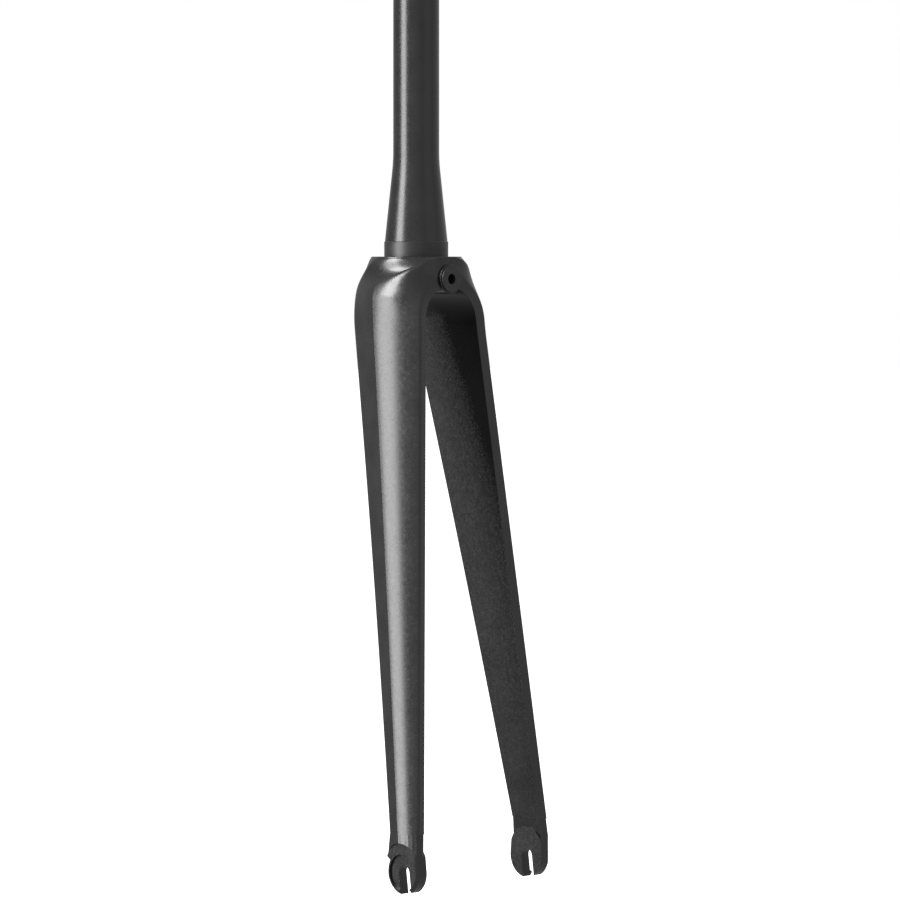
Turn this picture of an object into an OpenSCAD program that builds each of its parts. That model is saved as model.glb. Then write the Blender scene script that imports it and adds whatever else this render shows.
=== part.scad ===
// Carbon road fork for a rim brake, with a tapered steerer and bonded dropouts.
// Z is the steering axis and its zero is the crown's top face, where the headset race sits.
// The fork faces -Y. Sections are worked out as [outward, forward] pairs:
// "outward" is the distance from the middle plane and "forward" the distance along -Y.
// The rider's right side is -X. "Drop" is a distance below the crown's top face.

/* [Steerer] */
// Outer diameter of the straight part of the steerer
steerer_d = 28.6; // [25.4:0.1:31.8]
// Length of the steerer above the crown
steerer_len = 300; // [150:1:350]
// Wall of the straight part of the steerer
steerer_wall = 2.8; // [2:0.1:4]
// Diameter of the seat for the lower headset race
race_seat_d = 39.8; // [36:0.1:41]
// Height of the seat for the lower headset race
race_seat_h = 9.4; // [6:0.1:14]
// Height at which the taper runs out into the straight tube
taper_h = 59.5; // [45:0.5:90]
// Wall of the tapered part of the steerer
taper_wall = 3.2; // [2:0.1:4]
// Diameter of the opening through the underside of the crown
drain_d = 18; // [10:0.5:20]

/* [Crown] */
// Diameter of the crown's round top
crown_top_d = 55.4; // [50:0.2:60]
// Drop over which the crown turns into two blades
crown_h = 45; // [40:0.5:60]
// Drop over which the crease sweeps from the front to the sides
crease_drop = 26; // [20:0.5:34]
// Drop of the top of the wheel arch
arch_drop = 18.9; // [17:0.1:24]
// Gap between the blades where the arch ends
arch_w = 44.4; // [36:0.2:48]

/* [Brake mount] */
// Drop of the brake bolt
bolt_drop = 13.8; // [13:0.1:16]
// Bore for the brake bolt
bolt_bore_d = 6.2; // [5.5:0.1:6.4]
// Bore for the recessed brake nut
nut_bore_d = 8.2; // [7.4:0.1:8.6]
// Depth of the bore for the recessed brake nut
nut_bore_len = 20; // [12:0.5:24]
// Outer diameter of the sleeve
sleeve_d = 10.4; // [9.8:0.1:11]
// Diameter of the sleeve's flange ring
flange_d = 16.4; // [14:0.1:17]
// Thickness of the sleeve's flange ring
flange_t = 1; // [0.6:0.1:2]
// Outer diameter of the moulded boss behind the flange
boss_d = 18.4; // [17.6:0.1:20]
// How far the moulded boss stands in front of the crown
boss_rise = 1.8; // [0.8:0.1:3]

/* [Blades] */
// Drop of the wheel axle
axle_drop = 372.5; // [350:0.5:400]
// Forward offset of the wheel axle from the steering axis
rake = 47; // [38:0.5:55]
// Depth of a blade, front to back, where it leaves the crown
blade_depth_top = 56.3; // [44:0.5:58]
// Depth of a blade, front to back, at the height of the axle
blade_depth_tip = 20.4; // [18:0.2:27]
// Thickness of a blade at its crease, where it leaves the crown
blade_t_top = 16.8; // [15:0.1:22]
// Thickness of a blade at its crease, at the height of the axle
blade_t_tip = 10.2; // [10:0.1:13]
// Width of the flat front strip of a blade, where it leaves the crown
strip_w_top = 6.3; // [4:0.1:8]
// Width of the flat front strip of a blade, at the height of the axle
strip_w_tip = 6.3; // [4:0.1:7]
// How far the outer corner of a front strip stands in front of its inner edge
strip_lead = 1.5; // [0:0.1:2.5]
// Width of the flat back of a blade, where it leaves the crown
back_w_top = 7.6; // [5:0.1:10]
// Width of the flat back of a blade, at the height of the axle
back_w_tip = 7.5; // [4:0.1:9]
// Wall of the hollow blades
blade_wall = 2; // [1.6:0.1:2.6]

/* [Dropouts] */
// Distance between the inner faces of the dropouts, which is the hub's length
hub_w = 100; // [90:1:110]
// Thickness of a dropout at the axle slot
dropout_t = 6.6; // [5:0.1:8]
// Height of the retention rim around the axle nut
rim_h = 1.5; // [1:0.1:2.5]
// Diameter of the pocket inside the retention rim
pocket_d = 22.4; // [19:0.2:23]
// Radius of the dropout's lower end
dropout_r = 13.5; // [12.5:0.1:15]
// Width of the axle slot
slot_w = 9.1; // [9:0.1:10]
// Forward lean of the axle slot towards its mouth
slot_lean = 7.7; // [0:0.1:15]
// Height of the bond line above the axle
bond_h = 23.5; // [21:0.5:40]
// Length of the spigot that is bonded into the blade
spigot_len = 18; // [10:0.5:30]
// How far the dropout's neck is set in from the blade's surface
bond_step = 0.3; // [0.1:0.1:0.6]
// Gap filled by the bond
bond_gap = 0.12; // [0.05:0.01:0.2]

/* [Hidden] */
$fn = 96;

// Steerer
taper_foot_d = race_seat_d - 0.8;
taper_blend = 6.5;
seat_chamfer = 0.4;
seat_sink = 3;
bore_exit = 40;
drain_top = 6;
taper_steps = 10;
sleeve_proud = 0.5;

// Crown and blades
crown_r = crown_top_d / 2;
top_chamfer = 0.6;
crown_steps = 20;
crown_spacing = 1.6;
blade_steps = 12;
tip_lead = 2.3;
tip_spread = 1.85;
crown_lead = 3.05;
back_swing = 4.5;
back_bow = 1.6;
collar_hold = 1.35;
crease_turn = 0.8;
crease_haste = 0.93;
crease_behind = 1;
strip_turn = 3;
strip_pull = 1.85;
corner_r = 1.5;
corner_limit = 0.3;
corner_share = 0.05;
corner_steps = 2;
strip_start = 0.8;
side_steps = 9;
side_bulge_out = 0.93;
side_bulge_top = 0.95;
side_bulge_foot = 0.47;
back_corner_share = 0.47;
back_corner_round = 0.04;
back_steps = 5;
flat_steps = 2;
arch_square = 2.2;
arch_steps = 36;
arch_round = 23.7;
arch_foot = arch_drop + arch_round;
gap_reach = 120;
cavity_top = 25;
cavity_taper = 0.8;
hollow_steps = 4;
strip_inset = 0.6;
hollow_least = 0.15;
side_inset = [[0.6, 0.9], [0.9, 0.5]];
side_shares = [0.3, 0.65];
crease_inset = 1.05;
bond_drop = axle_drop - bond_h;

// Dropouts
neck_fillet = 16;
end_lead = -0.5;
end_chamfer = 1.8;
chamfer_from = 55;
chamfer_to = 272;
end_clear = 0.05;
pad_rise = 4.5;
nose_cut = 2.2;
end_t = dropout_t + rim_h;
end_front = rake + end_lead + dropout_r;
end_rear = rake + end_lead - dropout_r;
neck_steps = 5;
neck_corner_share = 0.1;
overlap = 2;
outer_reach = 30;

function mix(a, b, t) = a + (b - a) * t;
function tenth(v) = round(10 * v) / 10;
function clamp01(t) = max(0, min(1, t));
function ease(t) = (1 - cos(180 * clamp01(t))) / 2;
function curve3(a, k, b, t) = (1 - t) * (1 - t) * a + 2 * t * (1 - t) * k + t * t * b;
function hermite(a, slope_a, b, slope_b, t) =
    a * (2 * t * t * t - 3 * t * t + 1) + slope_a * (t * t * t - 2 * t * t + t)
    + b * (3 * t * t - 2 * t * t * t) + slope_b * (t * t * t - t * t);

// Straight lines of the blades: 0 where the crown ends and 1 at the axle
function along(drop) = (drop - crown_h) / (axle_drop - crown_h);
function middle_line(drop) = mix(crown_lead, rake + tip_lead, along(drop));
function depth_line(drop) = mix(blade_depth_top, blade_depth_tip, along(drop));
function inner_line(drop) = mix(arch_w / 2, hub_w / 2 + tip_spread, along(drop));
function crease_line(drop) = inner_line(drop) + mix(blade_t_top, blade_t_tip, along(drop));
function strip_line(drop) = inner_line(drop) + mix(strip_w_top, strip_w_tip, along(drop));
function back_line(drop) = inner_line(drop) + mix(back_w_top, back_w_tip, along(drop));
function front_line(drop) = middle_line(drop) + depth_line(drop) / 2;
function rear_line(drop) = middle_line(drop) - depth_line(drop) / 2;
function in_crown(drop) = clamp01(drop / crown_h);

// Front and back of the section
function front(drop) = drop < crown_h ? mix(crown_r, front_line(crown_h), in_crown(drop)) : front_line(drop);
function bowed(drop) = rear_line(drop) + back_bow * sin(180 * clamp01(along(drop)));
function rear_slope() = (bowed(crown_h + 1) - bowed(crown_h)) * crown_h;
function rear(drop) = drop < crown_h
    ? hermite(-crown_r, -back_swing, rear_line(crown_h), rear_slope(), in_crown(drop))
    : bowed(drop);

// Corners of the section: end of the front strip, crease, and end of the flat back
function sweep(drop) = 1 - pow(1 - clamp01(drop / crease_drop), 2);
function crease_out(drop) = crease_line(drop) * sqrt(sweep(drop));
function turned(drop) = ease(pow(clamp01(drop / (crease_turn * crease_drop)), crease_haste));
function crease_fwd(drop) = mix(crown_r, (front(drop) + rear(drop)) / 2 - crease_behind, turned(drop));
function crease(drop) = [crease_out(drop), crease_fwd(drop)];
function strip_out(drop) = drop < crown_h
    ? strip_line(crown_h) * pow(1 - pow(1 - in_crown(drop), strip_turn), strip_pull)
    : strip_line(drop);
function strip_rise(drop) = strip_lead * sin(90 * in_crown(drop));
function strip_end(drop) = [strip_out(drop), front(drop) + strip_rise(drop)];
function back_end(drop) = [back_line(drop), rear(drop)];
function side_bulge(drop) = mix(side_bulge_top, side_bulge_foot, ease(in_crown(drop)));
function side_pull(drop) =
    let (corner = strip_end(drop), tip = crease(drop))
    [mix(corner[0], tip[0], side_bulge_out), mix(tip[1], corner[1], side_bulge(drop))];
function side(drop, t) = curve3(strip_end(drop), side_pull(drop), crease(drop), t);

// Half of the section in front of the crease. The strip lies on a line from the arch's edge to its corner.
function arch_share(drop) = clamp01((arch_foot - drop) / arch_round);
function arch_out(drop) = drop < arch_foot
    ? inner_line(arch_foot) * pow(1 - pow(arch_share(drop), arch_square), 1 / arch_square)
    : inner_line(drop);
function strip_fwd(drop, out) =
    let (edge = arch_out(drop))
    front(drop) + strip_rise(drop) * (out - edge) / (strip_out(drop) - edge);
function front_half(drop) =
    let (corner = strip_end(drop), cut = min(corner_r, corner_limit * corner[0]))
    let (start = strip_start * max(arch_out(drop), corner[0] / 2), level = strip_fwd(drop, start))
    let (before = [corner[0] - cut, strip_fwd(drop, corner[0] - cut)], after = side(drop, corner_share))
    concat(
        [[0, level], [start, level], before],
        [for (i = [1:corner_steps]) curve3(before, corner, after, i / (corner_steps + 1))],
        [for (i = [0:side_steps]) side(drop, mix(corner_share, 1, i / side_steps))]);

// Half of the section behind the crease: a round collar at the top, which turns into the blade's facets
function collar_point(drop, share) =
    let (from = atan2(crease(drop)[0], crease(drop)[1]), angle = mix(from, 180, share))
    let (reach = mix(norm(crease(drop)), -rear(drop), pow(share, collar_hold)))
    [reach * sin(angle), reach * cos(angle)];
function facet_point(drop, share) =
    let (corner = back_end(drop), split = back_corner_share, round = back_corner_round)
    let (a = mix(crease(drop), corner, (split - round) / split), b = corner - [corner[0] * round, 0])
    share < split - round / 2 ? mix(crease(drop), corner, share / split)
    : share < split + round / 2 ? curve3(a, corner, b, 0.5)
    : [corner[0] * (1 - share) / (1 - split), corner[1]];
function back_blend(drop) = sin(90 * in_crown(drop));
back_shares = concat(
    [for (i = [1:back_steps]) (back_corner_share - back_corner_round) * i / back_steps],
    [back_corner_share],
    [for (i = [0:flat_steps]) mix(back_corner_share + back_corner_round, 1, i / flat_steps)]);
function back_half(drop) =
    [for (share = back_shares) mix(collar_point(drop, share), facet_point(drop, share), back_blend(drop))];
function section_half(drop) = concat(front_half(drop), back_half(drop));
half_count = len(section_half(crown_h));
ring_count = 2 * half_count - 2;

// Whole section as a closed ring of points at a height
function ring(drop, height, grow) =
    let (half = section_half(drop))
    [for (i = [0:ring_count - 1])
        i < half_count ? [-half[i][0] * grow, -half[i][1] * grow, height]
        : [half[ring_count - i][0] * grow, -half[ring_count - i][1] * grow, height]];

// Skin over rings that all have the same number of points, from the highest ring to the lowest
function middle(points) =
    [for (axis = [0:2]) [for (p = points) p[axis]] * [for (p = points) 1] / len(points)];
module skin(rings) {
    count = len(rings[0]);
    last = len(rings) - 1;
    points = concat([for (r = rings) for (p = r) p], [middle(rings[0]), middle(rings[last])]);
    hub = len(points) - 2;
    foot = last * count;
    walls = [for (r = [0:last - 1]) for (i = [0:count - 1])
        let (j = (i + 1) % count, a = r * count, b = a + count)
        each [[a + i, b + j, a + j], [a + i, b + i, b + j]]];
    ends = [for (i = [0:count - 1])
        let (j = (i + 1) % count)
        each [[hub, i, j], [hub + 1, foot + j, foot + i]]];
    polyhedron(points = points, faces = concat(walls, ends), convexity = 10);
}

// Outside of the crown and blades, before the wheel arch is cut
function crown_drop(i) = crown_h * pow(i / crown_steps, crown_spacing);
outer_drops = concat(
    [for (i = [1:crown_steps]) max(top_chamfer, crown_drop(i))],
    [for (i = [1:blade_steps]) mix(crown_h, bond_drop, i / blade_steps)]);
module outer_skin() {
    skin(concat(
        [ring(top_chamfer / 2, 0, 1 - top_chamfer / crown_r)],
        [for (drop = outer_drops) ring(drop, -drop, 1)]));
}

// Wheel arch, as an outline in the front view
function arch_point(a) =
    let (out = inner_line(arch_foot), c = cos(a), s = sin(a), power = 2 / arch_square)
    [out * sign(c) * pow(abs(c), power), arch_round * pow(s, power) - arch_foot];
module wheel_gap() {
    foot = axle_drop + outer_reach;
    rotate([90, 0, 0])
        linear_extrude(height = 2 * gap_reach, center = true)
            polygon(concat(
                [for (i = [0:arch_steps]) arch_point(180 * i / arch_steps)],
                [[-inner_line(foot), -foot], [inner_line(foot), -foot]]));
}

// Hollow of a blade on the right side, set in from the outer surface by a wall
function hollow_half(drop, wall) =
    let (corner = strip_end(drop), tip = crease(drop), back = back_end(drop))
    let (inner = inner_line(drop) + wall, least = inner + hollow_least)
    [[inner, corner[1] - strip_rise(drop) - wall],
     [max(least, corner[0] - strip_inset * wall), corner[1] - wall],
     side(drop, side_shares[0]) - side_inset[0] * wall,
     side(drop, side_shares[1]) - side_inset[1] * wall,
     [tip[0] - crease_inset * wall, tip[1]],
     [max(least, back[0] - strip_inset * wall), back[1] + wall],
     [inner, back[1] + wall]];
function hollow_ring(drop, wall) = [for (p = hollow_half(drop, wall)) [-p[0], -p[1], -drop]];
hollow_drops = concat(
    [cavity_top, (cavity_top + crown_h) / 2],
    [for (i = [0:hollow_steps]) mix(crown_h, bond_drop - spigot_len, i / hollow_steps)],
    [bond_drop + overlap]);
module blade_hollow() {
    skin([for (drop = hollow_drops)
        hollow_ring(drop, blade_wall + cavity_taper * (crown_h / min(drop, crown_h) - 1))]);
}

// Steerer, as a turned profile
function taper_share(h) = clamp01((h - race_seat_h) / (taper_h - race_seat_h));
function taper_out(h) = mix(taper_foot_d, steerer_d, taper_share(h)) / 2;
function taper_curve(shift) = [for (i = [0:taper_steps])
    let (low = taper_h - taper_blend, high = taper_h + taper_blend, out = steerer_d / 2 - shift)
    curve3([taper_out(low) - shift, low], [out, taper_h], [out, high], i / taper_steps)];
module steerer() {
    rotate_extrude()
        polygon(concat(
            [[0, -seat_sink], [race_seat_d / 2, -seat_sink], [race_seat_d / 2, race_seat_h - seat_chamfer],
             [taper_foot_d / 2, race_seat_h]],
            taper_curve(0),
            [[steerer_d / 2, steerer_len], [0, steerer_len]]));
}
module steerer_bore() {
    shift = taper_wall;
    rotate_extrude()
        polygon(concat(
            [[0, -bore_exit], [drain_d / 2, -bore_exit], [drain_d / 2, -drain_top / 2],
             [taper_foot_d / 2 - shift, drain_top]],
            [[taper_out(taper_h - 2 * taper_blend) - shift, taper_h - 2 * taper_blend],
             [steerer_d / 2 - steerer_wall, taper_h + taper_blend],
             [steerer_d / 2 - steerer_wall, steerer_len + overlap], [0, steerer_len + overlap]]));
}

// Places along the brake bolt, forward positive
boss_face = tenth(front(bolt_drop) + boss_rise);
boss_root = tenth(rear(bolt_drop) + blade_wall);
sleeve_back = tenth(rear(bolt_drop) - sleeve_proud);
module along_bolt(from, to) {
    translate([0, -from, -bolt_drop])
        rotate([90, 0, 0])
            linear_extrude(height = to - from)
                children();
}

module fork_body() color("#4a4a4c") {
    difference() {
        union() {
            difference() {
                outer_skin();
                wheel_gap();
            }
            steerer();
            along_bolt(boss_root, boss_face)
                circle(d = boss_d);
        }
        steerer_bore();
        along_bolt(sleeve_back - overlap, boss_face + overlap)
            circle(d = sleeve_d + 2 * bond_gap);
        blade_hollow();
        mirror([1, 0, 0])
            blade_hollow();
    }
}

module brake_sleeve() color("#3c3c3e") {
    difference() {
        union() {
            along_bolt(sleeve_back, boss_face + flange_t / 2)
                circle(d = sleeve_d);
            along_bolt(boss_face, boss_face + flange_t)
                circle(d = flange_d);
        }
        along_bolt(sleeve_back - overlap, boss_face + flange_t + overlap)
            circle(d = bolt_bore_d);
        along_bolt(sleeve_back - overlap, sleeve_back + nut_bore_len)
            circle(d = nut_bore_d);
    }
}

// Dropout of the right side. Its side outline is drawn as [forward, up].
module from_side(from, to) {
    translate([-from, 0, 0])
        rotate([90, 0, -90])
            linear_extrude(height = to - from)
                children();
}
module at_axle() {
    translate([rake, -axle_drop])
        children();
}
module dropout_end() {
    hull() {
        at_axle() translate([end_lead, 0]) circle(r = dropout_r + end_clear);
        at_axle() translate([end_lead, pad_rise]) circle(r = dropout_r + end_clear);
    }
}
module dropout_outline() {
    offset(r = -neck_fillet, $fn = 48)
        offset(delta = neck_fillet)
            union() {
                at_axle() translate([end_lead, 0]) circle(r = dropout_r);
                polygon([[rear(bond_drop), -bond_drop], [front(bond_drop), -bond_drop],
                    [end_front, -axle_drop], [end_rear, -axle_drop]]);
            }
}
module on_axle_axis() {
    translate([-hub_w / 2, -rake - end_lead, -axle_drop])
        rotate([0, -90, 0])
            children();
}
module rim_chamfer() {
    on_axle_axis()
        rotate([0, 0, chamfer_from])
            rotate_extrude(angle = chamfer_to - chamfer_from)
                polygon([
                    [dropout_r - end_chamfer, end_t],
                    [dropout_r + overlap, end_t - end_chamfer - overlap],
                    [dropout_r + overlap, end_t + overlap],
                    [dropout_r - end_chamfer, end_t + overlap]]);
}
function neck_half(drop) =
    let (corner = strip_end(drop), inner = inner_line(drop) + bond_step)
    let (back = [back_line(drop) - bond_step, (drop > bond_drop ? end_rear : rear(drop)) + bond_step])
    concat(
        [[inner, corner[1] - strip_rise(drop) - bond_step],
         [corner[0] - corner_r / 2, corner[1] - bond_step]],
        [for (i = [0:neck_steps]) side(drop, mix(neck_corner_share, 1, i / neck_steps)) - [bond_step, 0]],
        [back, [inner, back[1]]]);
function neck_ring(drop) = [for (p = neck_half(drop)) [-p[0], -p[1], -drop]];
module neck() {
    skin([neck_ring(bond_drop), neck_ring(axle_drop + outer_reach)]);
}
module nose_corner() {
    reach = hub_w / 2 + end_t + end_front - nose_cut;
    translate([0, 0, -axle_drop - outer_reach])
        linear_extrude(height = outer_reach + bond_h)
            polygon([[-reach, 0], [0, -reach], [-reach, -reach]]);
}
module spigot() {
    skin([for (drop = [bond_drop - spigot_len, bond_drop + overlap])
        hollow_ring(drop, blade_wall + bond_gap)]);
}
module axle_slot() {
    from_side(hub_w / 2 - overlap, hub_w / 2 + outer_reach)
        at_axle() {
            circle(d = slot_w);
            rotate(slot_lean)
                translate([-slot_w / 2, -outer_reach])
                    square([slot_w, outer_reach]);
        }
}
module dropout_side() {
    inner = hub_w / 2;
    outer = inner + outer_reach;
    difference() {
        union() {
            intersection() {
                neck();
                from_side(inner - overlap, outer)
                    dropout_outline();
            }
            intersection() {
                from_side(inner, inner + end_t)
                    dropout_outline();
                from_side(inner - overlap, outer)
                    dropout_end();
            }
            spigot();
        }
        from_side(inner + end_t, outer)
            dropout_end();
        from_side(inner + dropout_t, outer)
            at_axle()
                circle(d = pocket_d);
        rim_chamfer();
        nose_corner();
        axle_slot();
    }
}
module dropout_right() color("#505052") dropout_side();
module dropout_left() color("#505052") mirror([1, 0, 0]) dropout_side();

fork_body();
dropout_right();
dropout_left();
brake_sleeve();
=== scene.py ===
# %% [markdown]
# # A carbon road fork
# This lesson dresses a measured fork for a picture. The measured model gives every size and
# place. Here the same lines become smooth skins with soft edges and real finishes.
# Lengths are written in millimetres, and Blender gets them in metres.

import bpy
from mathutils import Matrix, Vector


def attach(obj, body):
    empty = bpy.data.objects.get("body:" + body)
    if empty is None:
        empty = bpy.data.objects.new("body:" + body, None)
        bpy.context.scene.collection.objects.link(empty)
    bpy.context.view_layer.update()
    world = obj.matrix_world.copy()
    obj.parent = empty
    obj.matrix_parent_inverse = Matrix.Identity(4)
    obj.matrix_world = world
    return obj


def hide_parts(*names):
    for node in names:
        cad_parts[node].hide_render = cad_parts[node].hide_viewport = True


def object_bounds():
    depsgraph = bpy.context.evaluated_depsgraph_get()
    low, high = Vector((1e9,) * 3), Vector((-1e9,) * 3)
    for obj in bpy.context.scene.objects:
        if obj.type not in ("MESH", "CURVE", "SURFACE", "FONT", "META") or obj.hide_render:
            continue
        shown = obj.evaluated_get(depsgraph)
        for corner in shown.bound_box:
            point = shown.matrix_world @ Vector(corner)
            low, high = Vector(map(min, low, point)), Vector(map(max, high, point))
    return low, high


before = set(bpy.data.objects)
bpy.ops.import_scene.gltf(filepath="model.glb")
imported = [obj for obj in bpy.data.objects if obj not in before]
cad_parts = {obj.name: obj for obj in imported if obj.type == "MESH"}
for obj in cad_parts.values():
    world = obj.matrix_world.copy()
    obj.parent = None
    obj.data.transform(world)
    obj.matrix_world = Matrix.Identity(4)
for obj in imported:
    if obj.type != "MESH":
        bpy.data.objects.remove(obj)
measured_box = [list(corner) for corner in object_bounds()]

import math

import bmesh
import bpy
from mathutils import Matrix, Vector

MM = 0.001
print("measured box in mm:", [[round(v / MM, 1) for v in corner] for corner in measured_box])

# %% [markdown]
# ## The camera
# The picture was taken from the front right, at the height of the crown, from far away: the
# two blades hardly shrink with distance. The camera stands level, so upright edges stay
# upright, and the lens is shifted down to bring the long blades into the frame. Tilting the
# camera would frame them too, but the blades would then lean towards each other.

# %% Place the camera
scene = bpy.context.scene
look = Vector((1.0, 1.0, 0.0)).normalized()
to_the_right = Vector((1.0, -1.0, 0.0)).normalized()
FRAME_PX = 900
CAMERA_DISTANCE = 2740.0
FOCAL_PX = 4409.0
HORIZON_PX = 245.0
AIM_RIGHT = 21.0
EYE_HEIGHT = 7.2

lens = bpy.data.cameras.new("product_camera")
lens.sensor_fit = "HORIZONTAL"
lens.sensor_width = 36.0
lens.lens = FOCAL_PX / FRAME_PX * lens.sensor_width
lens.shift_y = (HORIZON_PX - FRAME_PX / 2) / FRAME_PX
lens.clip_start = 0.05
lens.clip_end = 60.0
camera = bpy.data.objects.new("product_camera", lens)
camera.location = (to_the_right * AIM_RIGHT - look * CAMERA_DISTANCE + Vector((0, 0, EYE_HEIGHT))) * MM
camera.rotation_euler = look.to_track_quat("-Z", "Y").to_euler()
scene.collection.objects.link(camera)
scene.camera = camera
print("lens in mm:", round(lens.lens, 1), "shift down:", round(lens.shift_y, 4))

# %% [markdown]
# ## The lines of the fork
# A moulded fork has no flat drawing that can simply be extruded. Its maker draws a few long
# lines, such as the crease, the end of the flat front strip and the back corner, and lets the
# sections follow them. "Drop" is the distance below the crown's flat top, "out" the distance
# from the middle, and "fwd" the distance forward along -Y.

# %% Small helpers for lines and curves
def mix(a, b, t):
    return a + (b - a) * t


def held(t):
    return max(0.0, min(1.0, t))


def ease(t):
    return (1 - math.cos(math.pi * held(t))) / 2


def bow(start, pull, end, t):
    """A curve from start to end that is pulled towards a third point."""
    return start * (1 - t) ** 2 + pull * (2 * t * (1 - t)) + end * t ** 2


print("halfway along an eased line:", round(ease(0.5), 3))

# %% Sizes of the crown and the blades
CROWN_R, CROWN_H = 27.7, 45.0
CREASE_DROP, CREASE_TURN, CREASE_HASTE, CREASE_BEHIND = 26.0, 0.8, 0.93, 1.0
ARCH_DROP, ARCH_W, ARCH_ROUND, ARCH_SQUARE = 18.9, 44.4, 23.7, 2.2
ARCH_FOOT = ARCH_DROP + ARCH_ROUND
BACK_BOW, BACK_SWING, COLLAR_HOLD = 1.6, 4.5, 1.35
AXLE_DROP, RAKE, HUB_W = 372.5, 47.0, 100.0
BOND_DROP = AXLE_DROP - 23.5
STRIP_LEAD, STRIP_TURN, STRIP_PULL = 1.5, 3.0, 1.85
CORNER_R, CORNER_LIMIT, CORNER_SHARE = 1.5, 0.3, 0.05
SIDE_OUT, SIDE_TOP, SIDE_FOOT = 0.93, 0.95, 0.47
BACK_CORNER, BACK_ROUND = 0.47, 0.04


def along(drop):
    return (drop - CROWN_H) / (AXLE_DROP - CROWN_H)


def blade_line(at_crown, at_axle):
    """A size that changes evenly down the blade."""
    return lambda drop: mix(at_crown, at_axle, along(drop))


middle_line = blade_line(3.05, RAKE + 2.3)
depth_line = blade_line(56.3, 20.4)
inner_line = blade_line(ARCH_W / 2, HUB_W / 2 + 1.85)
thickness_line = blade_line(16.8, 10.2)
back_width = blade_line(7.6, 7.5)
STRIP_W = 6.3
print("blade depth at the bond line:", round(depth_line(BOND_DROP), 1), "mm")

# %% Front and back of the section
def front(drop):
    line = lambda d: middle_line(d) + depth_line(d) / 2
    return line(drop) if drop >= CROWN_H else mix(CROWN_R, line(CROWN_H), drop / CROWN_H)


def bowed(drop):
    """The back edge of a blade, which is bowed forward a little."""
    return middle_line(drop) - depth_line(drop) / 2 + BACK_BOW * math.sin(math.pi * held(along(drop)))


def rear(drop):
    if drop >= CROWN_H:
        return bowed(drop)
    t = drop / CROWN_H
    slope = (bowed(CROWN_H + 1) - bowed(CROWN_H)) * CROWN_H
    return (
        -CROWN_R * (2 * t ** 3 - 3 * t ** 2 + 1)
        - BACK_SWING * (t ** 3 - 2 * t ** 2 + t)
        + bowed(CROWN_H) * (3 * t ** 2 - 2 * t ** 3)
        + slope * (t ** 3 - t ** 2)
    )


print("crown depth at its foot:", round(front(CROWN_H) - rear(CROWN_H), 1), "mm")

# %% The crease, the front strip and the back corner
def crease(drop):
    swept = 1 - (1 - held(drop / CREASE_DROP)) ** 2
    out = (inner_line(drop) + thickness_line(drop)) * math.sqrt(swept)
    turned = ease(held(drop / (CREASE_TURN * CREASE_DROP)) ** CREASE_HASTE)
    behind = (front(drop) + rear(drop)) / 2 - CREASE_BEHIND
    return Vector((out, mix(CROWN_R, behind, turned)))


def strip_rise(drop):
    """How far the strip's outer corner stands in front of its inner edge."""
    return STRIP_LEAD * math.sin(math.pi / 2 * held(drop / CROWN_H))


def strip_end(drop):
    if drop >= CROWN_H:
        return Vector((inner_line(drop) + STRIP_W, front(drop) + strip_rise(drop)))
    spread = (1 - (1 - drop / CROWN_H) ** STRIP_TURN) ** STRIP_PULL
    return Vector(((inner_line(CROWN_H) + STRIP_W) * spread, front(drop) + strip_rise(drop)))


def arch_out(drop):
    """How far the edge of the wheel gap lies from the middle."""
    if drop >= ARCH_FOOT:
        return inner_line(drop)
    share = held((ARCH_FOOT - drop) / ARCH_ROUND)
    return inner_line(ARCH_FOOT) * (1 - share ** ARCH_SQUARE) ** (1 / ARCH_SQUARE)


def strip_fwd(drop, out):
    """The strip lies on a straight line from the edge of the gap to its outer corner."""
    edge = arch_out(drop)
    return front(drop) + strip_rise(drop) * (out - edge) / (strip_end(drop).x - edge)


def side_point(drop, t):
    start, end = strip_end(drop), crease(drop)
    fullness = mix(SIDE_TOP, SIDE_FOOT, ease(drop / CROWN_H))
    pull = Vector((mix(start.x, end.x, SIDE_OUT), mix(end.y, start.y, fullness)))
    return bow(start, pull, end, t)


def back_corner(drop):
    return Vector((inner_line(drop) + back_width(drop), rear(drop)))


print("crease at the crown's foot:", [round(v, 1) for v in crease(CROWN_H)])

# %% The back of the section, from the round collar to the blade's facets
def collar_point(drop, share):
    tip = crease(drop)
    angle = mix(math.atan2(tip.x, tip.y), math.pi, share)
    reach = mix(tip.length, -rear(drop), share ** COLLAR_HOLD)
    return Vector((reach * math.sin(angle), reach * math.cos(angle)))


def facet_point(drop, share):
    tip, corner = crease(drop), back_corner(drop)
    before, after = BACK_CORNER - BACK_ROUND, BACK_CORNER + BACK_ROUND
    if share < before:
        return tip.lerp(corner, share / BACK_CORNER)
    if share < after:
        start = tip.lerp(corner, before / BACK_CORNER)
        end = Vector((corner.x * (1 - after) / (1 - BACK_CORNER), corner.y))
        return bow(start, corner, end, (share - before) / (after - before))
    return Vector((corner.x * (1 - share) / (1 - BACK_CORNER), corner.y))


def back_point(drop, share):
    blend = math.sin(math.pi / 2 * held(drop / CROWN_H))
    return collar_point(drop, share).lerp(facet_point(drop, share), blend)


def back_share_at(drop, out):
    """Where along the back the section is that far from the middle."""
    low, high = BACK_CORNER, 1.0
    for _ in range(40):
        share = (low + high) / 2
        low, high = (share, high) if back_point(drop, share).x > out else (low, share)
    return (low + high) / 2


print("back of the crown at mid height:", [round(v, 1) for v in back_point(CROWN_H / 2, 0.5)])

# %% [markdown]
# ## The crown and the blades
# On the real fork one moulded skin runs from the steerer's foot down both blades. It could be
# cut from a block with booleans, but then the long highlights would break up on uneven faces.
# Instead a flat grid is draped over half of the fork, as a moulder lays a sheet of fibre into
# the tool: its columns run down the crease and the corners, and its rows follow the wheel
# arch, so that each edge of the real piece is an edge of the mesh and can be softened.

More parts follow.
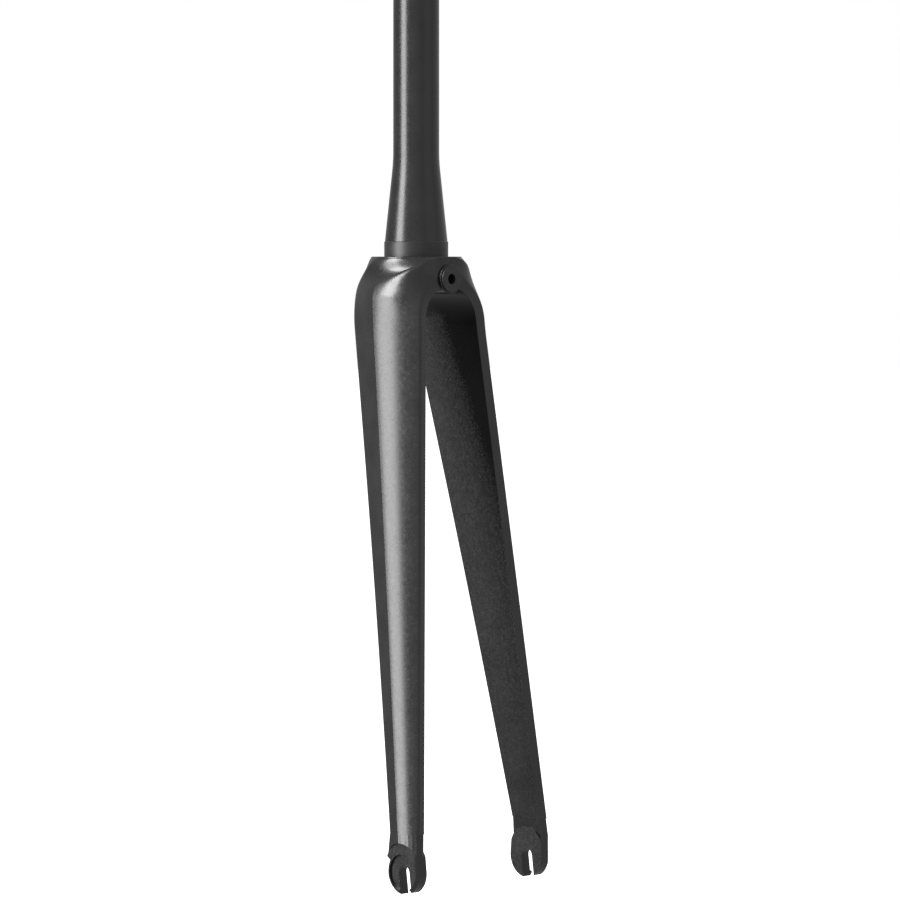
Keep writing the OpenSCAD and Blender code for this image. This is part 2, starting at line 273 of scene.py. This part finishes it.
# %% Rows of the sheet
TOP_ROWS, ARCH_ROWS, BLADE_ROWS = 24, 36, 48
ARCH_SIDE = 9.0
EDGE_ROUND = 0.6
ROW_LEAN = 45


def arch_edge(angle):
    """A point of the wheel arch as (out, drop): 90 degrees is its top and 0 its side."""
    c, s, power = math.cos(math.radians(angle)), math.sin(math.radians(angle)), 2 / ARCH_SQUARE
    return Vector((inner_line(ARCH_FOOT) * max(c, 0) ** power, ARCH_FOOT - ARCH_ROUND * s ** power))


rows = []
for i in range(TOP_ROWS):
    t = i / TOP_ROWS
    side = mix(EDGE_ROUND, ARCH_SIDE, t ** 1.5)
    inner = Vector((0, mix(EDGE_ROUND, ARCH_DROP, t ** 1.2)))
    rows.append({"inner": inner, "side": side, "lean": ROW_LEAN * t})
arch_start = len(rows)
for i in range(ARCH_ROWS):
    angle = 90 * (1 - i / ARCH_ROWS)
    side = mix(ARCH_SIDE, ARCH_FOOT, i / ARCH_ROWS)
    lean = ROW_LEAN * math.sin(math.radians(min(90, 2 * angle)))
    rows.append({"inner": arch_edge(angle), "side": side, "lean": lean})
for drop in [mix(ARCH_FOOT, BOND_DROP, i / BLADE_ROWS) for i in range(BLADE_ROWS + 1)]:
    rows.append({"inner": Vector((inner_line(drop), drop)), "side": drop, "lean": 0})
print("rows:", len(rows), "of which the arch starts at", arch_start)

# %% Columns of the sheet
STRIP_COLS, CORNER_COLS, SIDE_COLS, FACET_COLS, ROUND_COLS, BACK_COLS = 12, 4, 16, 16, 4, 14
crease_col = STRIP_COLS + CORNER_COLS + SIDE_COLS
column_count = crease_col + FACET_COLS + ROUND_COLS + BACK_COLS


def strip_point(row, t):
    """A point of the flat front strip, on a line that leaves the arch's edge squarely."""
    drop = row["side"]
    corner = strip_end(drop)
    cut = min(CORNER_R, CORNER_LIMIT * corner.x)
    start, end = row["inner"], Vector((corner.x - cut, drop))
    lean = math.radians(row["lean"])
    pull = start + Vector((math.cos(lean), -math.sin(lean))) * (end - start).length * 0.45
    out, own_drop = bow(start, pull, end, t)
    return Vector((out, strip_fwd(own_drop, out), own_drop))


def sheet_point(row, column):
    """(out, fwd, drop) of one crossing of a row and a column."""
    drop = row["side"]
    if column <= STRIP_COLS:
        return strip_point(row, column / STRIP_COLS)
    column -= STRIP_COLS
    if column <= CORNER_COLS:
        corner = strip_end(drop)
        out = corner.x - min(CORNER_R, CORNER_LIMIT * corner.x)
        before = Vector((out, strip_fwd(drop, out)))
        point = bow(before, corner, side_point(drop, CORNER_SHARE), column / CORNER_COLS)
        return Vector((point.x, point.y, drop))
    column -= CORNER_COLS
    if column <= SIDE_COLS:
        point = side_point(drop, mix(CORNER_SHARE, 1, column / SIDE_COLS))
        return Vector((point.x, point.y, drop))
    column -= SIDE_COLS
    before, after = BACK_CORNER - BACK_ROUND, BACK_CORNER + BACK_ROUND
    if column <= FACET_COLS + ROUND_COLS:
        share = before * column / FACET_COLS
        if column > FACET_COLS:
            share = mix(before, after, (column - FACET_COLS) / ROUND_COLS)
        point = back_point(drop, share)
        return Vector((point.x, point.y, drop))
    t = (column - FACET_COLS - ROUND_COLS) / BACK_COLS
    out, inner_drop = row["inner"]
    own_drop = mix(drop, inner_drop, t)
    point = back_point(own_drop, mix(after, back_share_at(inner_drop, out), t))
    return Vector((point.x, point.y, own_drop))


print("columns:", column_count, "with the crease at", crease_col)

# %% Drape the sheet over half of the fork
def placed(point):
    """A point given as (out, fwd, drop), in metres on the rider's left side."""
    return Vector((point[0], -point[1], -point[2])) * MM


def new_object(name, mesh_maker):
    """An object whose mesh is taken from a bmesh that is finished here."""
    mesh = bpy.data.meshes.new(name)
    mesh_maker.to_mesh(mesh)
    mesh_maker.free()
    piece = bpy.data.objects.new(name, mesh)
    scene.collection.objects.link(piece)
    return piece


sheet = bmesh.new()
bmesh.ops.create_grid(sheet, x_segments=column_count, y_segments=len(rows) - 1, size=1.0)
columns_made = sorted({round(v.co.x, 5) for v in sheet.verts})
rows_made = sorted({round(v.co.y, 5) for v in sheet.verts})
spot = {}
for vert in sheet.verts:
    column = round((vert.co.x + 1) / 2 * (len(columns_made) - 1))
    row = round((vert.co.y + 1) / 2 * (len(rows_made) - 1))
    spot[vert] = (row, column)
for vert, (row, column) in spot.items():
    vert.co = placed(sheet_point(rows[row], column))
print("sheet:", len(rows_made), "rows and", len(columns_made), "columns of points")

# %% Close the arch and the insides of the blades
def edges_where(mesh_maker, keep):
    return [e for e in mesh_maker.edges if keep(*(spot[v] for v in e.verts))]


arch_front = edges_where(sheet, lambda a, b: a[1] == b[1] == 0 and min(a[0], b[0]) >= arch_start)
arch_back = edges_where(sheet, lambda a, b: a[1] == b[1] == column_count and min(a[0], b[0]) >= arch_start)
bmesh.ops.bridge_loops(sheet, edges=arch_front + arch_back)
crease_edges = edges_where(sheet, lambda a, b: a[1] == b[1] == crease_col)
print("arch edges:", len(arch_front), len(arch_back), "crease edges:", len(crease_edges))

# %% Soften the crease and the edges of the arch
CREASE_SOFT, ARCH_SOFT = 0.35, 0.7
bevel_rule = {"offset_type": "OFFSET", "affect": "EDGES", "profile": 0.5,
              "material": -1, "clamp_overlap": True}
bmesh.ops.bevel(sheet, geom=crease_edges, offset=CREASE_SOFT * MM, segments=2, **bevel_rule)
arch_edges = [e for e in arch_front + arch_back if e.is_valid]
bmesh.ops.bevel(sheet, geom=arch_edges, offset=ARCH_SOFT * MM, segments=3, **bevel_rule)
print("faces on half of the fork:", len(sheet.faces))

# %% Mirror the half, round the crown's top rim and close the ends
bmesh.ops.mirror(sheet, geom=sheet.verts[:] + sheet.edges[:] + sheet.faces[:],
                 matrix=Matrix.Identity(4), merge_dist=0.01 * MM, axis="X")
bmesh.ops.remove_doubles(sheet, verts=sheet.verts, dist=0.005 * MM)
open_edges = [e for e in sheet.edges if e.is_boundary]
top_edges = [e for e in open_edges if all(v.co.z > -2 * EDGE_ROUND * MM for v in e.verts)]
for step in range(1, 5):
    turn = math.radians(90 * step / 4)
    grown = bmesh.ops.extrude_edge_only(sheet, edges=top_edges)["geom"]
    rim = [v for v in grown if isinstance(v, bmesh.types.BMVert)]
    inset = EDGE_ROUND * (1 - math.cos(turn)) - EDGE_ROUND * (1 - math.cos(math.radians(90 * (step - 1) / 4)))
    for vert in rim:
        flat = Vector((vert.co.x, vert.co.y, 0)).length
        vert.co.x *= 1 - inset * MM / flat
        vert.co.y *= 1 - inset * MM / flat
        vert.co.z = -EDGE_ROUND * MM * (1 - math.sin(turn))
    top_edges = [e for e in grown if isinstance(e, bmesh.types.BMEdge) and e.is_boundary]
bmesh.ops.holes_fill(sheet, edges=[e for e in sheet.edges if e.is_boundary], sides=0)
bmesh.ops.recalc_face_normals(sheet, faces=sheet.faces)
print("open edges left:", sum(e.is_boundary for e in sheet.edges), "volume in cm3:",
      round(sheet.calc_volume() * 1e6, 1))
fork = new_object("fork_body_skin", sheet)

# %% [markdown]
# ## The steerer
# The steerer is a tube that was turned or moulded round, with a stepped seat for the lower
# headset race, a taper and a long straight part. A profile spun around the steering axis
# gives it the same evenly round highlight as the real tube. Its bore is spun in the same way
# and taken out of the tube and the crown together.

# %% Spin the steerer and its bore
STEERER_D, STEERER_LEN, STEERER_WALL = 28.6, 300.0, 2.8
SEAT_D, SEAT_H, SEAT_CHAMFER = 39.8, 9.4, 0.4
TAPER_H, TAPER_WALL, TAPER_BLEND = 59.5, 3.2, 6.5
DRAIN_D, DRAIN_REACH, SINK = 18.0, 44, 3
TAPER_FOOT = SEAT_D - 0.8


def taper_radius(height):
    return mix(TAPER_FOOT, STEERER_D, held((height - SEAT_H) / (TAPER_H - SEAT_H))) / 2


def spun(name, profile, steps=128, axis=(0, 0, 1), centre=(0, 0, 0)):
    """A round piece from a profile of (radius, height) points, spun around the upright axis."""
    turned = bmesh.new()
    points = [turned.verts.new((radius * MM, 0, height * MM)) for radius, height in profile]
    edges = [turned.edges.new(pair) for pair in zip(points, points[1:])]
    if profile[0][0] > 0:
        edges.append(turned.edges.new((points[-1], points[0])))
    bmesh.ops.spin(turned, geom=points + edges, cent=(0, 0, 0), axis=(0, 0, 1),
                   angle=math.tau, steps=steps, use_merge=True, use_duplicate=False)
    bmesh.ops.remove_doubles(turned, verts=turned.verts, dist=0.001 * MM)
    lay_down = Vector((0, 0, 1)).rotation_difference(Vector(axis)).to_matrix().to_4x4()
    bmesh.ops.transform(turned, matrix=Matrix.Translation(Vector(centre) * MM) @ lay_down, verts=turned.verts)
    bmesh.ops.recalc_face_normals(turned, faces=turned.faces)
    return new_object(name, turned)


taper_curve = []
for i in range(13):
    low, straight_r = TAPER_H - TAPER_BLEND, STEERER_D / 2
    taper_curve.append(tuple(bow(Vector((taper_radius(low), low)), Vector((straight_r, TAPER_H)),
                                 Vector((straight_r, TAPER_H + TAPER_BLEND)), i / 12)))
steerer = spun("steerer_tool", [
    (0, -SINK), (SEAT_D / 2, -SINK), (SEAT_D / 2, SEAT_H - SEAT_CHAMFER), (SEAT_D / 2 - SEAT_CHAMFER, SEAT_H),
    *taper_curve, (STEERER_D / 2, STEERER_LEN - 0.4), (STEERER_D / 2 - 0.4, STEERER_LEN), (0, STEERER_LEN)])
bore = spun("bore_tool", [
    (0, -DRAIN_REACH), (DRAIN_D / 2, -DRAIN_REACH), (DRAIN_D / 2, -SINK), (TAPER_FOOT / 2 - TAPER_WALL, 6),
    (taper_radius(TAPER_H - 2 * TAPER_BLEND) - TAPER_WALL, TAPER_H - 2 * TAPER_BLEND),
    (STEERER_D / 2 - STEERER_WALL, TAPER_H + TAPER_BLEND),
    (STEERER_D / 2 - STEERER_WALL, STEERER_LEN + 2), (0, STEERER_LEN + 2)], steps=96)
print("steerer points:", len(steerer.data.vertices), "bore points:", len(bore.data.vertices))

# %% [markdown]
# ## The brake mount
# The caliper's bolt passes through the crown. A round boss stands proud around it and bulges a
# little below the arch, and an alloy sleeve with a flange lines the hole. Both are spun like
# the steerer, around an axis that lies along the bolt.

# %% Spin the boss and the hole for the sleeve
BOLT_DROP, BOLT_BORE_D, NUT_BORE_D, NUT_BORE_LEN = 13.8, 6.2, 8.2, 20.0
SLEEVE_D, FLANGE_D, FLANGE_T = 10.4, 16.4, 1.0
BOSS_D, BOSS_RISE, BOND_GAP = 18.4, 1.8, 0.12
boss_face = round(front(BOLT_DROP) + BOSS_RISE, 1)
boss_root = round(rear(BOLT_DROP) + 2, 1)
sleeve_back = round(rear(BOLT_DROP) - 0.5, 1)
FORWARD = (0, -1, 0)
at_bolt = (0, 0, -BOLT_DROP)


def round_over(radius, height, r, steps=4):
    """Points that round the corner of a profile at (radius, height)."""
    turns = [math.pi / 2 * i / steps for i in range(steps + 1)]
    return [(radius - r * (1 - math.cos(a)), height - r * (1 - math.sin(a))) for a in turns]


boss = spun("boss_tool", [(0, boss_root), (BOSS_D / 2, boss_root),
                          *round_over(BOSS_D / 2, boss_face, 0.5), (0, boss_face)],
            steps=96, axis=FORWARD, centre=at_bolt)
hole_r = SLEEVE_D / 2 + BOND_GAP
bolt_hole = spun("bolt_hole_tool", [(0, sleeve_back - 2), (hole_r, sleeve_back - 2), (hole_r, boss_face + 2),
                                    (0, boss_face + 2)], steps=96, axis=FORWARD, centre=at_bolt)
print("boss face stands", round(boss_face, 2), "mm in front of the steering axis")

# %% Join the skin, the steerer and the boss, and cut both bores
def combine(piece, tool, operation):
    """Adds a tool piece to a piece or cuts it away, and removes the tool."""
    cut = piece.modifiers.new("combine", "BOOLEAN")
    cut.operation, cut.object, cut.solver = operation, tool, "EXACT"
    bpy.context.view_layer.update()
    done = bpy.data.meshes.new_from_object(piece.evaluated_get(bpy.context.evaluated_depsgraph_get()))
    piece.modifiers.clear()
    old, piece.data = piece.data, done
    bpy.data.meshes.remove(old)
    bpy.data.objects.remove(tool)


combine(fork, steerer, "UNION")
combine(fork, boss, "UNION")
combine(fork, bore, "DIFFERENCE")
combine(fork, bolt_hole, "DIFFERENCE")
print("joined skin:", len(fork.data.vertices), "points and", len(fork.data.polygons), "faces")

# %% Smooth shading with true corners
def smooth_shade(piece, sharp_angle=32):
    """Shades a piece smoothly and keeps every edge that turns more sharply than the angle."""
    tidy = bmesh.new()
    tidy.from_mesh(piece.data)
    bmesh.ops.dissolve_degenerate(tidy, edges=tidy.edges, dist=0.002 * MM)
    for face in tidy.faces:
        face.smooth = True
    for edge in tidy.edges:
        edge.smooth = len(edge.link_faces) != 2 or edge.calc_face_angle(0) < math.radians(sharp_angle)
    loose = sum(len(edge.link_faces) != 2 for edge in tidy.edges)
    tidy.to_mesh(piece.data)
    tidy.free()
    even = piece.modifiers.new("even_normals", "WEIGHTED_NORMAL")
    even.keep_sharp = True
    even.weight = 50
    return loose


print("edges without two faces:", smooth_shade(fork))
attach(fork, "root")
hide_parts("fork_body")

# %% Spin the brake sleeve
SLEEVE_SOFT, MOUTH_SOFT = 0.3, 0.4
back_mouth = NUT_BORE_D / 2
sleeve = spun("brake_sleeve_turned", [
    (back_mouth, sleeve_back + NUT_BORE_LEN), (back_mouth, sleeve_back + SLEEVE_SOFT),
    (back_mouth + SLEEVE_SOFT, sleeve_back), (SLEEVE_D / 2 - SLEEVE_SOFT, sleeve_back),
    (SLEEVE_D / 2, sleeve_back + SLEEVE_SOFT), (SLEEVE_D / 2, boss_face),
    (FLANGE_D / 2, boss_face), *round_over(FLANGE_D / 2, boss_face + FLANGE_T, SLEEVE_SOFT),
    (BOLT_BORE_D / 2 + MOUTH_SOFT, boss_face + FLANGE_T),
    (BOLT_BORE_D / 2, boss_face + FLANGE_T - MOUTH_SOFT),
    (BOLT_BORE_D / 2, sleeve_back + NUT_BORE_LEN)], steps=96, axis=FORWARD, centre=at_bolt)
print("edges without two faces:", smooth_shade(sleeve))
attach(sleeve, "root")
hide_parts("brake_sleeve")

# %% [markdown]
# ## Finishes
# The fork is satin clear coat over dark fibre: a near-black ground, a soft and wide highlight,
# and a faint cloudiness where fibre and resin are uneven. A Principled shader with a noise
# texture on Object coordinates does this. Object coordinates stay with the piece when the
# view or the pose changes. The race seat is machined after moulding, so a comparison of the
# height gives it a duller surface with faint rings.

# %% A helper for finishes
def new_finish(name):
    finish = bpy.data.materials.new(name)
    finish.use_nodes = True
    nodes, links = finish.node_tree.nodes, finish.node_tree.links
    shader = nodes["Principled BSDF"]
    place = nodes.new("ShaderNodeTexCoord").outputs["Object"]
    return finish, nodes, links, shader, place


def noise(nodes, links, place, per_mm, detail=3.0, stretch=(1, 1, 1)):
    """A noise texture with about that many blobs per millimetre."""
    mapping = nodes.new("ShaderNodeMapping")
    mapping.inputs["Scale"].default_value = stretch
    links.new(place, mapping.inputs["Vector"])
    texture = nodes.new("ShaderNodeTexNoise")
    texture.inputs["Scale"].default_value = per_mm / MM
    texture.inputs["Detail"].default_value = detail
    links.new(mapping.outputs["Vector"], texture.inputs["Vector"])
    return texture.outputs["Fac"]


def ramp(nodes, links, value, stops):
    """A colour ramp: stops are (position, colour)."""
    colours = nodes.new("ShaderNodeValToRGB")
    band = colours.color_ramp
    band.elements[0].position, band.elements[0].color = stops[0][0], (*stops[0][1], 1)
    band.elements[1].position, band.elements[1].color = stops[-1][0], (*stops[-1][1], 1)
    for position, colour in stops[1:-1]:
        band.elements.new(position).color = (*colour, 1)
    links.new(value, colours.inputs["Fac"])
    return colours.outputs["Color"]


def bump(nodes, links, shader, height, strength, distance):
    rough = nodes.new("ShaderNodeBump")
    rough.inputs["Strength"].default_value = strength
    rough.inputs["Distance"].default_value = distance * MM
    links.new(height, rough.inputs["Height"])
    links.new(rough.outputs["Normal"], shader.inputs["Normal"])


def grey(value):
    return (value, value, value * 1.01)


print("finish helpers ready")

# %% Satin carbon
carbon, nodes, links, shader, place = new_finish("satin_carbon")
clouds = noise(nodes, links, place, 0.06, 4.0)
links.new(ramp(nodes, links, clouds, [(0.3, grey(0.011)), (0.7, grey(0.017))]), shader.inputs["Base Color"])
fine = noise(nodes, links, place, 0.4, 2.0)
satin = ramp(nodes, links, fine, [(0.3, grey(0.22)), (0.7, grey(0.29))])
rings = noise(nodes, links, place, 1.2, 2.0, (0.02, 0.02, 1))
machined = ramp(nodes, links, rings, [(0.35, grey(0.36)), (0.65, grey(0.46))])
height = nodes.new("ShaderNodeSeparateXYZ")
links.new(place, height.inputs["Vector"])
on_seat = nodes.new("ShaderNodeMath")
on_seat.operation = "COMPARE"
links.new(height.outputs["Z"], on_seat.inputs[0])
on_seat.inputs[1].default_value = SEAT_H / 2 * MM
on_seat.inputs[2].default_value = (SEAT_H / 2 - 0.1) * MM
either = nodes.new("ShaderNodeMix")
links.new(on_seat.outputs["Value"], either.inputs["Factor"])
links.new(satin, either.inputs["A"])
links.new(machined, either.inputs["B"])
links.new(either.outputs["Result"], shader.inputs["Roughness"])
bump(nodes, links, shader, fine, 0.02, 0.05)
shader.inputs["Specular IOR Level"].default_value = 0.5
fork.data.materials.clear()
fork.data.materials.append(carbon)
for node in ("dropout_right", "dropout_left"):
    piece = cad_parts[node]
    piece.data.materials.clear()
    piece.data.materials.append(carbon)
print("satin carbon on the skin and the dropouts")

# %% Black anodised alloy
alloy, nodes, links, shader, place = new_finish("black_anodised_alloy")
turning = noise(nodes, links, place, 1.5, 2.0, (1, 0.1, 1))
links.new(ramp(nodes, links, turning, [(0.3, grey(0.035)), (0.7, grey(0.06))]), shader.inputs["Base Color"])
links.new(ramp(nodes, links, turning, [(0.3, grey(0.34)), (0.7, grey(0.46))]), shader.inputs["Roughness"])
shader.inputs["Metallic"].default_value = 0.6
bump(nodes, links, shader, turning, 0.04, 0.03)
sleeve.data.materials.clear()
sleeve.data.materials.append(alloy)
print("alloy on the brake sleeve")

# %% [markdown]
# ## Studio
# The picture shows the fork on pure white, with one long soft highlight from the left that is
# strongest on the crown, and an even dark grey elsewhere. So the background is white for the
# camera, while the fork itself reflects a grey room that gets darker on the left. Two soft
# boxes, one above the other, give the highlight, and a weak one stands on the right.

# %% Light the fork
LIGHT_AIM = Vector((0, 0, -0.05))
ROOM_LEFT, ROOM_ELSEWHERE = 0.12, 0.52
WHITE = (1, 1, 1, 1)


def soft_box(name, bearing, distance, height, size, watts):
    """An area light at a bearing in degrees, measured to the right of the camera's direction."""
    turn = math.radians(bearing)
    away = -look * math.cos(turn) + to_the_right * math.sin(turn)
    lamp = bpy.data.lights.new(name, "AREA")
    lamp.shape, lamp.size, lamp.size_y, lamp.energy = "RECTANGLE", size[0], size[1], watts
    holder = bpy.data.objects.new(name, lamp)
    holder.location = away * distance + Vector((0, 0, height))
    holder.rotation_euler = (LIGHT_AIM - holder.location).to_track_quat("-Z", "Y").to_euler()
    scene.collection.objects.link(holder)


soft_box("upper_key_box", -65, 1.5, 0.95, (0.72, 1.1), 49)
soft_box("lower_key_box", -65, 1.5, -0.1, (0.72, 1.0), 25)
soft_box("fill_box", 60, 2.0, 0.1, (1.4, 1.6), 1.5)
world = bpy.data.worlds.new("studio")
world.use_nodes = True
scene.world = world
wn, wl = world.node_tree.nodes, world.node_tree.links
backdrop = wn["Background"]
seen = wn.new("ShaderNodeLightPath").outputs["Is Camera Ray"]
tone = wn.new("ShaderNodeMix")
tone.data_type = "RGBA"
tone.inputs[7].default_value = WHITE
wl.new(seen, tone.inputs[0])
rightward = wn.new("ShaderNodeVectorMath")
rightward.operation = "DOT_PRODUCT"
wl.new(wn.new("ShaderNodeTexCoord").outputs["Generated"], rightward.inputs[0])
rightward.inputs[1].default_value = to_the_right
room = wn.new("ShaderNodeMapRange")
wl.new(rightward.outputs["Value"], room.inputs["Value"])
room.inputs["From Min"].default_value = -1.0
room.inputs["From Max"].default_value = -0.2
room.inputs["To Min"].default_value = ROOM_LEFT
room.inputs["To Max"].default_value = ROOM_ELSEWHERE
wl.new(room.outputs["Result"], tone.inputs[6])
wl.new(tone.outputs[2], backdrop.inputs["Color"])
scene.view_settings.view_transform = "Standard"
scene.view_settings.look = "None"

# %% Lay the floor
floor_maker = bmesh.new()
bmesh.ops.create_grid(floor_maker, x_segments=1, y_segments=1, size=12.0)
bmesh.ops.translate(floor_maker, verts=floor_maker.verts, vec=(0, 0, measured_box[0][2] - 0.15))
floor = new_object("floor", floor_maker)
pale, nodes, links, shader, place = new_finish("pale_floor")
patches = noise(nodes, links, place, 0.002)
links.new(ramp(nodes, links, patches, [(0.3, (0.9, 0.9, 0.9)), (0.7, (0.92, 0.92, 0.92))]),
          shader.inputs["Base Color"])
shader.inputs["Roughness"].default_value = 0.9
shader.inputs["Emission Color"].default_value = WHITE
shader.inputs["Emission Strength"].default_value = 1.0
floor.data.materials.append(pale)
floor.visible_glossy = False
floor.visible_diffuse = False
print("floor at", round(floor.data.vertices[0].co.z, 3), "m")
